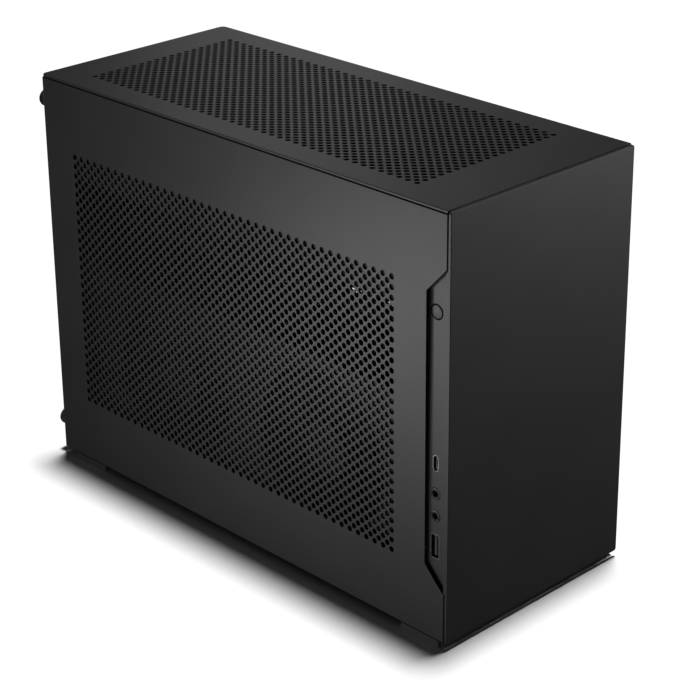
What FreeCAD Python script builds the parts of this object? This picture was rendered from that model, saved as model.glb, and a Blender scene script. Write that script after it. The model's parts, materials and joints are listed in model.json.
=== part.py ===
import FreeCAD, Part

import math
import os

# Compact desktop computer tower, split down the middle by a wall: graphics card on the left,
# board and power supply on the right, liquid-cooling radiator across the top.
# Millimetres. +Z up, the front faces -Y, the side with the ports is -X.
# The origin is on the floor, under the middle of the bounding box.

V = FreeCAD.Vector
X_AXIS = V(1, 0, 0)
Y_AXIS = V(0, 1, 0)
Z_AXIS = V(0, 0, 1)

# ---- driving dimensions -------------------------------------------------------------------
WIDTH = 139.0
DEPTH = 322.0
BODY_HEIGHT = 240.0
FOOT_HEIGHT = 4.0
SCREW_PROUD = 7.0
SKIN = 1.5
FRONT_PLATE = 1.6
STEEL = 1.2
EDGE_ROUND = 0.4
CHASSIS_GAP = 3.5

# Perforation: a centred rectangular lattice, the same on both sides and the top.
HOLE_R = 1.6
PITCH_ALONG = 6.23
PITCH_ACROSS = 5.72
FIELD_COLUMNS = 83
SIDE_ROWS = 55
TOP_ROWS = 37
FIELD_START = 39.8
SIDE_FIELD_BASE = 41.0
HOLE_MARGIN = 3.0
BAND_ROWS = 5
VENT_COLUMNS = 33
VENT_ROWS = 13

# Notch in the left side panel, and the recessed strip behind it.
NOTCH_DEPTH = 14.0
NOTCH_LOW = 28.3
NOTCH_HIGH = 209.2
STRIP_RECESS = 2.7
PORT_LINE = 11.3
BUTTON_LEVEL = 184.1
USB_C_LEVEL = 100.8
JACK_LEVELS = (83.6, 70.8)
USB_A_LEVEL = 53.1
BUTTON_R = 4.0

# ---- places worked out from them ----------------------------------------------------------
X_SIDE = WIDTH / 2
Y_FRONT = -(DEPTH + SCREW_PROUD) / 2
Y_REAR = Y_FRONT + DEPTH
Z_BASE = FOOT_HEIGHT
Z_TOP = Z_BASE + BODY_HEIGHT

X_INNER = X_SIDE - SKIN
X_CHASSIS = X_SIDE - CHASSIS_GAP
Y_PLATE_BACK = Y_FRONT + FRONT_PLATE
Y_SIDE_FRONT = Y_FRONT + 2.5
Y_BULKHEAD = Y_FRONT + 2.8
Y_INSIDE = Y_BULKHEAD + STEEL
Y_BACK_OUT = Y_REAR - 2.0
Y_BACK_IN = Y_BACK_OUT - STEEL
Z_SIDE_LOW = Z_BASE + 0.3
Z_SIDE_HIGH = Z_BASE + 238.0
Z_LID = Z_TOP - SKIN
Z_FLOOR = Z_BASE + STEEL
Z_CHASSIS_TOP = Z_SIDE_HIGH - 0.5
FIELD_Y = Y_FRONT + FIELD_START
FIELD_LENGTH = (FIELD_COLUMNS - 1) * PITCH_ALONG / 2
Y_FIELD_MID = FIELD_Y + FIELD_LENGTH / 2

X_STRIP = -X_SIDE + STRIP_RECESS
X_STRIP_BACK = X_STRIP + SKIN
Y_PORTS = Y_FRONT + PORT_LINE
X_IO_BOARD = -50.0
BEZEL_LOW = 31.0
BEZEL_HIGH = 215.0

X_WALL = -2.0
Z_SHELF = 184.0
X_BOARD = 5.5
BOARD_T = 1.6
X_BOARD_FACE = X_BOARD + BOARD_T
BOARD_SIZE = 170.0
Y_BOARD_REAR = Y_BACK_IN - 0.8
Y_BOARD_FRONT = Y_BOARD_REAR - BOARD_SIZE
Z_BOARD = 10.0
X_CARD = -10.6
SLOT_PITCH = 20.32
SLOT_XS = tuple(-12.0 - SLOT_PITCH * n for n in range(3))

# Thumbscrews, ball studs, feet.
X_SCREW = X_SIDE - 6.5
SCREW_ZS = (Z_BASE + 17.0, Z_BASE + 223.0)
SCREW_R = 1.5
SCREW_HEAD_R = 5.2
SIDE_STUDS = ((-149.0, 12.0), (5.0, 12.0), (-133.0, 222.0), (5.0, 222.0))
STUD_FOOT_R = 3.5
STUD_FOOT_HEIGHT = 1.0
STUD_NECK_R = 1.2
STUD_BALL_R = 2.1
TOP_STUDS = tuple((x, y) for x in (-45.0, 45.0) for y in (-152.0, 148.0))
FOOT_SIZE = (12.0, 28.5)
FOOT_YS = (Y_FRONT + 5.2, Y_FRONT + 283.5)

# Cooling, power supply and graphics card.
FAN_SIZE = 120.0
FAN_DEPTH = 25.0
RADIATOR = (120.0, 276.0, 27.0)
Z_RADIATOR = Z_SHELF + STEEL
HOSE_XS = (36.0, 50.0)
FAN_YS = (Y_FIELD_MID - FAN_SIZE / 2, Y_FIELD_MID + FAN_SIZE / 2)
PSU_X = (0.5, 64.0)
PSU_Y = (-140.0, -40.0)
PSU_Z = (6.0, 131.0)
POWER_LEAD_X = 50.0
CARD_Y = (-116.0, 150.0)
CARD_Z = (20.0, 132.0)
SHROUD_X = (-60.0, -38.0)
CARD_FAN_R = 46.0
CARD_FAN_YS = (-62.0, 60.0)
INLET_X = -40.0
INLET_Z = 158.0

parts = {}


# ---- small tools --------------------------------------------------------------------------
def block(x0, x1, y0, y1, z0, z1):
    """An axis-aligned block between two corners."""
    return Part.makeBox(x1 - x0, y1 - y0, z1 - z0, V(x0, y0, z0))


def rod(radius, start, direction, length):
    """A solid round bar."""
    return Part.makeCylinder(radius, length, start, direction)


def ring(outer, inner, start, direction, length):
    """A bush: a round bar with a bore."""
    return rod(outer, start, direction, length).cut(rod(inner, start, direction, length))


def fused(shapes):
    """One solid from touching or crossing solids."""
    return shapes[0].multiFuse(shapes[1:]).removeSplitter()


def group(shapes):
    """Separate solids that share one node."""
    return Part.makeCompound(shapes)


def on_side(x):
    """Maps drawing coordinates (along, up) to the plane at x."""
    return lambda u, v: V(x, u, v)


def on_level(z):
    """Maps drawing coordinates (across, along) to the plane at z."""
    return lambda u, v: V(u, v, z)


def on_back(y):
    """Maps drawing coordinates (across, up) to the plane at y."""
    return lambda u, v: V(u, y, v)


def on_lid(z):
    """Maps drawing coordinates (along, across) to the plane at z."""
    return lambda u, v: V(v, u, z)


def polygon(points, place):
    """A closed wire through drawing points."""
    corners = [place(u, v) for u, v in points]
    return Part.makePolygon(corners + corners[:1])


def rounded(u0, u1, v0, v1, radius, place):
    """A closed rectangle with round corners."""
    slant = radius * (1 - math.sqrt(0.5))
    lines = [
        ((u0 + radius, v0), (u1 - radius, v0)),
        ((u1, v0 + radius), (u1, v1 - radius)),
        ((u1 - radius, v1), (u0 + radius, v1)),
        ((u0, v1 - radius), (u0, v0 + radius)),
    ]
    mids = [
        (u1 - slant, v0 + slant), (u1 - slant, v1 - slant),
        (u0 + slant, v1 - slant), (u0 + slant, v0 + slant),
    ]
    edges = []
    for n, (start, end) in enumerate(lines):
        if math.dist(start, end) > 1e-6:
            edges.append(Part.LineSegment(place(*start), place(*end)).toShape())
        following = lines[(n + 1) % 4][0]
        edges.append(Part.Arc(place(*end), place(*mids[n]), place(*following)).toShape())
    return Part.Wire(edges)


def circle(u, v, radius, place):
    """A closed circle in the drawing plane, drawn the same way round as rounded()."""
    centre = place(u, v)
    normal = (place(u + 1, v) - centre).cross(place(u, v + 1) - centre)
    return Part.Wire(Part.makeCircle(radius, centre, normal))


def plate(outline, holes, thickness):
    """A flat plate with all its holes cut in one go; holes run the other way round to the outline."""
    face = Part.Face([outline] + holes)
    if face.Area > Part.Face(outline).Area:
        for hole in holes:
            hole.reverse()
        face = Part.Face([outline] + holes)
    return face.extrude(thickness)


def lattice_row(columns, row, u0):
    """Hole centres along one row of a centred rectangular lattice."""
    return [u0 + i * PITCH_ALONG / 2 for i in range(row % 2, columns, 2)]


def scalloped_line(centres, u_start, u_end, v, place, bulge):
    """Edges along the level v that go round each hole on it in a half circle, bulging up (1) or down (-1)."""
    step = math.copysign(HOLE_R, u_end - u_start)
    edges = []
    u = u_start
    for centre in sorted(centres, reverse=step < 0):
        before = place(centre - step, v)
        after = place(centre + step, v)
        edges.append(Part.LineSegment(place(u, v), before).toShape())
        edges.append(Part.Arc(before, place(centre, v + bulge * HOLE_R), after).toShape())
        u = centre + step
    edges.append(Part.LineSegment(place(u, v), place(u_end, v)).toShape())
    return edges


def perforated_sheet(outline, rows, v0, place, thickness):
    """A sheet with the hole lattice in its middle: a plain frame, and bands that meet along rows of holes."""
    u_low = FIELD_Y - HOLE_MARGIN
    u_high = FIELD_Y + FIELD_LENGTH + HOLE_MARGIN
    seams = [-1, *range(BAND_ROWS, rows - 1, BAND_ROWS), rows]
    levels = [v0 + row * PITCH_ACROSS / 2 for row in seams]
    window = [(u_low, levels[0]), (u_high, levels[0]), (u_high, levels[-1]), (u_low, levels[-1])]
    frame = plate(outline, [polygon(window, place)], thickness)
    bands = []
    for n in range(len(seams) - 1):
        low, high = levels[n : n + 2]
        below = lattice_row(FIELD_COLUMNS, seams[n], FIELD_Y) if n > 0 else []
        above = lattice_row(FIELD_COLUMNS, seams[n + 1], FIELD_Y) if n < len(seams) - 2 else []
        edges = scalloped_line(below, u_low, u_high, low, place, 1)
        edges.append(Part.LineSegment(place(u_high, low), place(u_high, high)).toShape())
        edges += scalloped_line(above, u_high, u_low, high, place, -1)
        edges.append(Part.LineSegment(place(u_low, high), place(u_low, low)).toShape())
        holes = [
            circle(u, v0 + row * PITCH_ACROSS / 2, HOLE_R, place)
            for row in range(seams[n] + 1, seams[n + 1])
            for u in lattice_row(FIELD_COLUMNS, row, FIELD_Y)
        ]
        bands.append(plate(Part.Wire(edges), holes, thickness))
    return frame.multiFuse(bands).Solids[0]


def bent_tube(points, radius):
    """A round tube along straight runs joined by tangent arcs, as large as the runs allow."""
    knots = [V(*p) for p in points]
    edges = []
    start = knots[0]
    for before, corner, after in zip(knots, knots[1:], knots[2:]):
        back = before - corner
        ahead = after - corner
        run = 0.45 * min(back.Length, ahead.Length)
        back.normalize()
        ahead.normalize()
        half = back.getAngle(ahead) / 2
        arc_radius = run * math.tan(half)
        inward = back + ahead
        inward.normalize()
        middle = corner + inward * (arc_radius / math.sin(half) - arc_radius)
        edges.append(Part.LineSegment(start, corner + back * run).toShape())
        edges.append(Part.Arc(corner + back * run, middle, corner + ahead * run).toShape())
        start = corner + ahead * run
        print("bend radius", round(arc_radius, 1), "for a tube of", 2 * radius)
    edges.append(Part.LineSegment(start, knots[-1]).toShape())
    path = Part.Wire(edges)
    profile = Part.Wire(Part.makeCircle(radius, knots[0], knots[1] - knots[0]))
    made = path.makePipeShell([profile], True, False)
    print("tube volume against section times length", made.Volume / (math.pi * radius**2 * path.Length))
    return made


# ---- outer panels -------------------------------------------------------------------------
def front_panel():
    """Plain front plate with softly rounded corners."""
    made = plate(
        rounded(-X_SIDE, X_SIDE, Z_BASE, Z_TOP - 0.3, 1.6, on_back(Y_FRONT)), [], Y_AXIS * FRONT_PLATE
    )
    face_edges = [e for e in made.Edges if e.BoundBox.YMax < Y_FRONT + 1e-3]
    return made.makeFillet(EDGE_ROUND, face_edges)


def perforated_side(side, outline_points):
    """A side panel: side is -1 for the left one and 1 for the right one."""
    place = on_side(side * X_SIDE)
    outline = polygon(outline_points, place)
    return perforated_sheet(outline, SIDE_ROWS, Z_BASE + SIDE_FIELD_BASE, place, X_AXIS * (-side * SKIN))


def side_outline(notched):
    """Outline of a side panel in (y, z), with the port notch in its front edge if it has one."""
    notch = [
        (Y_SIDE_FRONT, Z_BASE + NOTCH_HIGH),
        (Y_SIDE_FRONT + NOTCH_DEPTH, Z_BASE + NOTCH_HIGH - NOTCH_DEPTH),
        (Y_SIDE_FRONT + NOTCH_DEPTH, Z_BASE + NOTCH_LOW + NOTCH_DEPTH),
        (Y_SIDE_FRONT, Z_BASE + NOTCH_LOW),
    ]
    corners = [
        (Y_SIDE_FRONT, Z_SIDE_LOW),
        (Y_REAR, Z_SIDE_LOW),
        (Y_REAR, Z_SIDE_HIGH),
        (Y_SIDE_FRONT, Z_SIDE_HIGH),
    ]
    return corners + (notch if notched else [])


def top_panel():
    """Perforated lid, rounded at its two rear corners."""
    radius = 2.0
    slant = radius * (1 - math.sqrt(0.5))
    front = Y_FRONT + 2.4
    place = on_lid(Z_TOP)
    corners = [place(Y_REAR - radius, -X_SIDE), place(front, -X_SIDE)]
    corners += [place(front, X_SIDE), place(Y_REAR - radius, X_SIDE)]
    edges = [Part.LineSegment(a, b).toShape() for a, b in zip(corners, corners[1:])]
    right_end = place(Y_REAR, X_SIDE - radius)
    left_end = place(Y_REAR, radius - X_SIDE)
    edges.append(Part.Arc(corners[-1], place(Y_REAR - slant, X_SIDE - slant), right_end).toShape())
    edges.append(Part.LineSegment(right_end, left_end).toShape())
    edges.append(Part.Arc(left_end, place(Y_REAR - slant, slant - X_SIDE), corners[0]).toShape())
    across = (TOP_ROWS - 1) * PITCH_ACROSS / 2
    return perforated_sheet(Part.Wire(edges), TOP_ROWS, -across / 2, place, Z_AXIS * -SKIN)


def ball_stud(base, direction, length):
    """Foot disc, thin neck and ball of a snap stud. The ball's poles lie on the neck's axis."""
    foot = rod(STUD_FOOT_R, base, direction, STUD_FOOT_HEIGHT)
    neck = rod(STUD_NECK_R, base, direction, length)
    ball = Part.makeSphere(STUD_BALL_R, base + direction * length, direction)
    return fused([foot, neck, ball])


def side_fixings(side):
    """Rear bracket with open slots for the thumbscrews, and four snap studs, bonded to a side panel."""
    bond = 0.2
    x_bond = side * (X_INNER - bond)
    x_web = side * (X_INNER - bond - STEEL)
    x_inner = side * (X_SIDE - 13.0)
    flange_y = Y_REAR - 1.5
    web = block(min(x_bond, x_web), max(x_bond, x_web), Y_REAR - 12.0, flange_y + STEEL, 12.0, 236.0)
    flange = block(min(x_bond, x_inner), max(x_bond, x_inner), flange_y, flange_y + STEEL, 12.0, 236.0)
    bracket = web.fuse(flange)
    slot_r = SCREW_R + 0.5
    for z in SCREW_ZS:
        eye = rod(slot_r, V(side * X_SCREW, flange_y - 1, z), Y_AXIS, 4)
        x_open = x_inner - side
        mouth = block(
            min(x_open, side * X_SCREW), max(x_open, side * X_SCREW),
            flange_y - 1, flange_y + 3, z - slot_r, z + slot_r,
        )
        bracket = bracket.cut(eye).cut(mouth)
    studs = [ball_stud(V(x_bond, y, z), X_AXIS * -side, 5.6) for y, z in SIDE_STUDS]
    return group([bracket.removeSplitter()] + studs)


def top_panel_studs():
    """Four snap studs under the lid."""
    return group([ball_stud(V(x, y, Z_LID - 0.2), -Z_AXIS, 7.0) for x, y in TOP_STUDS])


def thumbscrew(side, z):
    """Knurled captive screw that clamps a side panel's bracket."""
    teeth = 28
    depth = 0.35
    head_start = Y_REAR + 0.2
    head_length = Y_REAR + SCREW_PROUD - head_start
    rim = []
    for n in range(2 * teeth):
        radius = SCREW_HEAD_R - depth * (n % 2)
        angle = math.pi * n / teeth
        rim.append((side * X_SCREW + radius * math.cos(angle), z + radius * math.sin(angle)))
    head = plate(polygon(rim, on_back(head_start)), [], Y_AXIS * head_length)
    dome_r = 14.0
    centre = V(side * X_SCREW, Y_REAR + SCREW_PROUD - dome_r, z)
    round_head = rod(SCREW_HEAD_R, V(centre.x, head_start, z), Y_AXIS, head_length)
    dome = Part.makeSphere(dome_r, centre).common(round_head)
    shank = rod(SCREW_R, V(centre.x, Y_BACK_IN - 4.0, z), Y_AXIS, head_start - Y_BACK_IN + 4.0)
    return fused([head.common(dome), shank])


# ---- chassis ------------------------------------------------------------------------------
def front_bulkhead():
    """Steel plate behind the front plate; its left edge carries the port strip."""
    holes = [circle(x, z, 1.6, on_back(Y_BULKHEAD)) for x in (-55.0, 55.0) for z in (20.0, 228.0)]
    outline = rounded(X_STRIP_BACK, X_CHASSIS, Z_FLOOR, Z_CHASSIS_TOP, 1.0, on_back(Y_BULKHEAD))
    return plate(outline, holes, Y_AXIS * STEEL)


def bottom_tray():
    """Floor with up-turned lips and two fields of vent slots."""
    place = on_level(Z_BASE)
    slots = []
    for row_y in (-105.0, -20.0, 65.0):
        for n in range(12):
            x = -48.4 + n * 8.8
            slots.append(rounded(x - 2.0, x + 2.0, row_y - 30.0, row_y + 30.0, 1.9, place))
    holes = [circle(x, y, 1.6, place) for x, y in foot_screw_places()]
    floor = plate(
        rounded(-X_CHASSIS, X_CHASSIS, Y_BULKHEAD, Y_BACK_OUT, 1.0, place), slots + holes, Z_AXIS * STEEL
    )
    lips = []
    for side in (-1, 1):
        x0, x1 = sorted((side * X_CHASSIS, side * (X_CHASSIS - STEEL)))
        lip = block(x0, x1, Y_INSIDE, Y_BACK_IN - 7.0, Z_FLOOR, 20.0)
        for y, z in SIDE_STUDS:
            if z < 20.0:
                lip = lip.cut(rod(2.7, V(x0 - 1, y, z), X_AXIS, 4))
        lips.append(lip)
    return fused([floor] + lips)


def rear_panel():
    """Back plate with the port window, card slots, inlet cut-out, vents and screw holes."""
    place = on_back(Y_BACK_OUT)
    holes = [rounded(6.0, 50.4, 14.0, 172.0, 1.0, place)]
    holes += [rounded(x - 7.0, x + 7.0, 22.0, 127.0, 1.0, place) for x in SLOT_XS]
    holes.append(rounded(INLET_X - 13.6, INLET_X + 13.6, INLET_Z - 10.0, INLET_Z + 10.0, 0.4, place))
    holes += [
        circle(side * X_SCREW, z, SCREW_R + 0.05, place) for side in (-1, 1) for z in SCREW_ZS
    ]
    for row in range(VENT_ROWS):
        z = 192.0 + row * PITCH_ACROSS / 2
        holes += [circle(x, z, HOLE_R, place) for x in lattice_row(VENT_COLUMNS, row, -8 * PITCH_ALONG)]
    outline = rounded(-X_CHASSIS, X_CHASSIS, Z_FLOOR, Z_CHASSIS_TOP, 1.0, place)
    return plate(outline, holes, Y_AXIS * -STEEL)


def center_wall():
    """Front half of the dividing wall; cables pass in front of it and over it."""
    outline = rounded(-138.0, Y_BOARD_FRONT - 3.0, Z_FLOOR, 142.0, 3.0, on_side(X_WALL))
    return plate(outline, [], X_AXIS * STEEL)


def board_tray():
    """Rear half of the dividing wall, which carries the board; the riser passes under it."""
    outline = rounded(Y_BOARD_FRONT - 2.0, Y_BACK_IN, 12.0, 182.0, 1.0, on_side(X_WALL))
    holes = [circle(y, z, 1.6, on_side(X_WALL)) for y, z in board_screw_places()]
    return plate(outline, holes, X_AXIS * STEEL)


def board_screw_places():
    """Centres (y, z) of the board's four fixing holes."""
    inset = 7.0
    return [
        (y, z)
        for y in (Y_BOARD_FRONT + inset, Y_BOARD_REAR - inset)
        for z in (Z_BOARD + 17.0, Z_BOARD + BOARD_SIZE - inset)
    ]


def top_rail(side):
    """Angle along the top edge: its shelf carries the radiator, its web the snap sockets."""
    x_out = side * X_CHASSIS
    x_in = side * (X_CHASSIS - STEEL)
    y0 = Y_FRONT + 19.0
    y1 = Y_BACK_IN - 7.0
    web = block(min(x_out, x_in), max(x_out, x_in), y0, y1, Z_SHELF, Z_CHASSIS_TOP)
    for y, z in SIDE_STUDS:
        if z > 20.0:
            web = web.cut(rod(2.7, V(min(x_out, x_in) - 1, y, z), X_AXIS, 4))
    x_shelf = side * 57.5
    shelf = block(min(x_out, x_shelf), max(x_out, x_shelf), y0, y1, Z_SHELF, Z_SHELF + STEEL)
    return fused([web, shelf])


def top_bars():
    """Cross bars at the front and rear top edges, with the lid's snap holes."""
    made = []
    for y0, y1 in ((Y_INSIDE, -143.5), (143.0, Y_BACK_IN)):
        bar = block(-X_CHASSIS + STEEL, X_CHASSIS - STEEL, y0, y1, 236.5, 236.5 + STEEL)
        for x, y in TOP_STUDS:
            if y0 < y < y1:
                bar = bar.cut(rod(2.7, V(x, y, 230), Z_AXIS, 12))
        made.append(bar)
    return group(made)


def stud_clips():
    """Nylon sockets that the panels' ball studs snap into."""
    made = []
    for side in (-1, 1):
        for y, z in SIDE_STUDS:
            start = V(side * (X_CHASSIS - STEEL), y, z)
            made.append(ring(4.0, 2.45, start, X_AXIS * -side, 4.5))
    for x, y in TOP_STUDS:
        made.append(ring(4.0, 2.45, V(x, y, 236.5), -Z_AXIS, 4.5))
    return group(made)


def foot_centres():
    """Centres (x, y) of the four feet."""
    x = X_SIDE - FOOT_SIZE[0] / 2
    return [(side * x, y + FOOT_SIZE[1] / 2) for side in (-1, 1) for y in FOOT_YS]


def foot_screw_places():
    """Centres (x, y) of the feet's screws, clear of the tray's lips."""
    return [(math.copysign(X_CHASSIS - 5.5, x), y) for x, y in foot_centres()]


def feet():
    """Four low rubber pads, flush with the sides."""
    half_x = FOOT_SIZE[0] / 2
    half_y = FOOT_SIZE[1] / 2
    made = []
    for (x, y), (x_screw, y_screw) in zip(foot_centres(), foot_screw_places()):
        outline = rounded(x - half_x, x + half_x, y - half_y, y + half_y, 1.5, on_level(0))
        pad = plate(outline, [], Z_AXIS * FOOT_HEIGHT)
        made.append(pad.cut(rod(1.6, V(x_screw, y_screw, 1.5), Z_AXIS, 4)))
    return group(made)


def pan_screw(seat, direction, length, radius=1.5):
    """A small round-headed screw: the head sits on the seat, the shank goes along direction."""
    head = rod(2 * radius, seat - direction * 1.4, direction, 1.4)
    shank = rod(radius, seat, direction, length)
    return head.fuse(shank).removeSplitter()


def chassis_screws():
    """Screws of the front plate, the feet and the board."""
    made = []
    for x in (-55.0, 55.0):
        for z in (20.0, 228.0):
            made.append(pan_screw(V(x, Y_INSIDE, z), -Y_AXIS, Y_INSIDE - Y_PLATE_BACK))
    for x, y in foot_screw_places():
        made.append(pan_screw(V(x, y, Z_FLOOR), -Z_AXIS, STEEL + 2.3))
    for y, z in board_screw_places():
        made.append(pan_screw(V(X_BOARD_FACE, y, z), -X_AXIS, 4.0, 1.3))
    return group(made)


# ---- front ports and power button ---------------------------------------------------------
def io_bezel():
    """Recessed strip with its raised lip beside the front plate, and two posts for the port board."""
    strip = plate(
        rounded(Y_PLATE_BACK + 0.2, Y_FRONT + 17.5, BEZEL_LOW, BEZEL_HIGH, 0.8, on_side(X_STRIP)),
        bezel_holes(),
        X_AXIS * SKIN,
    )
    lip = block(
        -X_SIDE + 0.2, X_STRIP_BACK, Y_PLATE_BACK + 0.1, Y_FRONT + 2.9,
        Z_BASE + NOTCH_LOW + 1.0, Z_BASE + NOTCH_HIGH - 1.0,
    )
    posts = [
        rod(2.5, V(X_STRIP + 0.7, Y_PORTS, z), X_AXIS, X_IO_BOARD - X_STRIP - 0.7) for z in (42.0, 122.0)
    ]
    return fused([strip, lip] + posts)


def bezel_holes():
    """Openings in the strip for the button, jacks and ports."""
    place = on_side(X_STRIP)
    gap = 0.12
    holes = [circle(Y_PORTS, Z_BASE + BUTTON_LEVEL, BUTTON_R + 0.3, place)]
    holes += [circle(Y_PORTS, Z_BASE + z, 3.45 + gap, place) for z in JACK_LEVELS]
    for level, across, along, radius in ((USB_C_LEVEL, 4.0, 9.4, 1.9), (USB_A_LEVEL, 6.2, 14.1, 0.6)):
        half_y = across / 2 + gap
        half_z = along / 2 + gap
        z = Z_BASE + level
        holes.append(rounded(Y_PORTS - half_y, Y_PORTS + half_y, z - half_z, z + half_z, radius, place))
    return holes


def power_button():
    """Round button cap with a retaining flange and a stem that reaches the switch."""
    z = Z_BASE + BUTTON_LEVEL
    cap = rod(BUTTON_R, V(X_STRIP - 0.2, Y_PORTS, z), X_AXIS, 2.4)
    rim = [e for e in cap.Edges if e.BoundBox.XMax < X_STRIP]
    cap = cap.makeFillet(0.25, rim)
    flange = rod(BUTTON_R + 0.9, V(X_STRIP_BACK + 0.4, Y_PORTS, z), X_AXIS, 1.0)
    stem = rod(SCREW_R, V(X_STRIP, Y_PORTS, z), X_AXIS, 10.5)
    core = rod(BUTTON_R, V(X_STRIP + 1.0, Y_PORTS, z), X_AXIS, 1.5)
    return fused([cap, core, flange, stem])


def button_spring():
    """Small return spring around the button's stem, with one face to each turn."""
    z = Z_BASE + BUTTON_LEVEL
    wire_r = 0.3
    flange_back = X_STRIP_BACK + 1.4
    start_x = flange_back + 2 * wire_r + 0.1
    coil_r = 2.6
    length = 5.6
    turns = 4
    helix = Part.makeLongHelix(length / turns, length, coil_r)
    profile = Part.Wire(Part.makeCircle(wire_r, V(coil_r, 0, 0), Y_AXIS))
    spring = Part.Wire(helix.Edges).makePipeShell([profile], True, True)
    spring.rotate(V(0, 0, 0), Y_AXIS, 90)
    spring.translate(V(start_x, Y_PORTS, z))
    return spring


def power_switch():
    """Switch housing: a round cup that seats the spring and takes the stem."""
    z = Z_BASE + BUTTON_LEVEL
    x_cup = X_STRIP_BACK + 8.0
    cup = ring(4.6, 2.0, V(x_cup, Y_PORTS, z), X_AXIS, 2.6)
    base = block(x_cup + 2.6, X_IO_BOARD, Y_PORTS - 4.0, Y_PORTS + 4.0, z - 4.5, z + 4.5)
    return fused([cup, base])


def port_shell(level, across, along, radius, wall, depth, tongue_across, tongue_along):
    """A metal socket shell, open outwards, with its tongue inside."""
    z = Z_BASE + level
    place = on_side(X_STRIP)

    def outline(inset, at):
        half_y = across / 2 - inset
        half_z = along / 2 - inset
        return rounded(Y_PORTS - half_y, Y_PORTS + half_y, z - half_z, z + half_z, radius - inset, at)

    shell = plate(outline(0, place), [], X_AXIS * (X_IO_BOARD - X_STRIP))
    cavity = plate(outline(wall, on_side(X_STRIP - 1)), [], X_AXIS * (depth + 1))
    tongue = block(
        X_STRIP + 0.8, X_STRIP + depth + 1, Y_PORTS - tongue_across / 2, Y_PORTS + tongue_across / 2,
        z - tongue_along / 2, z + tongue_along / 2,
    )
    return fused([shell.cut(cavity), tongue])


def audio_jacks():
    """Two audio sockets: a collar through the strip and a body on the port board."""
    made = []
    for level in JACK_LEVELS:
        z = Z_BASE + level
        collar = rod(3.45, V(X_STRIP - 0.1, Y_PORTS, z), X_AXIS, 2.6)
        body = block(X_STRIP_BACK + 0.4, X_IO_BOARD, Y_PORTS - 3.5, Y_PORTS + 3.5, z - 5.0, z + 5.0)
        bore = rod(1.95, V(X_STRIP - 1, Y_PORTS, z), X_AXIS, 14.0)
        made.append(fused([collar, body]).cut(bore))
    return group(made)


def front_io_board():
    """Long narrow circuit board that carries the front ports and the switch."""
    y0 = Y_FRONT + 5.0
    outline = rounded(y0, Y_FRONT + 17.0, 40.0, 196.0, 1.0, on_side(X_IO_BOARD))
    board = plate(outline, [], X_AXIS * BOARD_T)
    header = block(X_IO_BOARD + BOARD_T, X_IO_BOARD + 8.0, y0 + 1, y0 + 8.0, 132.0, 148.0)
    return fused([board, header])


def front_io_cable():
    """Lead from the port board to the header on the main board."""
    z = 140.0
    y = Y_FRONT + 9.5
    x = X_BOARD_FACE + 4.4
    return bent_tube([(X_IO_BOARD + 8.0, y, z), (x, y, z), (x, Y_BOARD_FRONT + 6.0, z)], 3.0)


# ---- main board ---------------------------------------------------------------------------
def motherboard():
    """Square main board with its four fixing holes."""
    outline = rounded(Y_BOARD_FRONT, Y_BOARD_REAR, Z_BOARD, Z_BOARD + BOARD_SIZE, 2.0, on_side(X_BOARD))
    holes = [circle(y, z, 1.6, on_side(X_BOARD)) for y, z in board_screw_places()]
    return plate(outline, holes, X_AXIS * BOARD_T)


def board_standoffs():
    """Four hexagonal spacers between the tray and the board."""
    made = []
    for y, z in board_screw_places():
        corners = [
            (y + 3.0 * math.cos(math.pi * n / 3), z + 3.0 * math.sin(math.pi * n / 3)) for n in range(6)
        ]
        spacer = plate(polygon(corners, on_side(X_WALL + STEEL)), [], X_AXIS * (X_BOARD - X_WALL - STEEL))
        made.append(spacer.cut(rod(1.4, V(X_BOARD - 3.0, y, z), X_AXIS, 4)))
    return group(made)


def board_sockets():
    """Card slot, power sockets, memory slots and headers on the main board."""
    x = X_BOARD_FACE
    places = [
        (11.0, 60.0, 149.0, 14.0, 21.0),
        (13.0, Y_BOARD_FRONT + 1.0, Y_BOARD_FRONT + 11.0, 30.0, 82.0),
        (13.0, 88.0, 98.0, 166.0, 178.0),
        (8.0, Y_BOARD_FRONT + 6.0, Y_BOARD_FRONT + 12.0, 132.0, 150.0),
        (6.0, 12.0, 18.0, 22.0, 162.0),
        (6.0, 22.0, 28.0, 22.0, 162.0),
    ]
    return group([block(x, x + tall, y0, y1, z0, z1) for tall, y0, y1, z0, z1 in places])


def memory_sticks():
    """Two memory modules standing in their slots, each with a heat spreader."""
    made = []
    for y in (15.0, 25.0):
        x0 = X_BOARD_FACE + 6.0
        module = block(x0, x0 + 22.0, y - 0.6, y + 0.6, 25.0, 158.0)
        spreader = block(x0 + 2.0, x0 + 24.0, y - 2.4, y + 2.4, 27.0, 156.0)
        for n in range(9):
            z = 36.0 + n * 13.0
            spreader = spreader.cut(block(x0 + 21.0, x0 + 25.0, y - 3.0, y + 3.0, z, z + 6.0))
        made.append(fused([module, spreader]))
    return group(made)


def m2_ssd():
    """Drive under a small ribbed cover."""
    x = X_BOARD_FACE + 0.5
    cover = block(x, x + 6.0, 48.0, 130.0, 28.0, 52.0)
    for n in range(9):
        z = 30.0 + n * 2.4
        cover = cover.cut(block(x + 3.5, x + 7.0, 50.0, 128.0, z, z + 1.2))
    return cover


def vrm_heatsink():
    """Finned heatsink over the voltage regulators, beside the rear ports."""
    x = X_BOARD_FACE + 2.0
    sink = block(x, x + 22.0, 108.0, 124.0, 74.0, 150.0)
    for n in range(14):
        z = 76.5 + n * 5.2
        sink = sink.cut(block(x + 6.0, x + 23.0, 107.0, 125.0, z, z + 2.6))
    return sink


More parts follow.
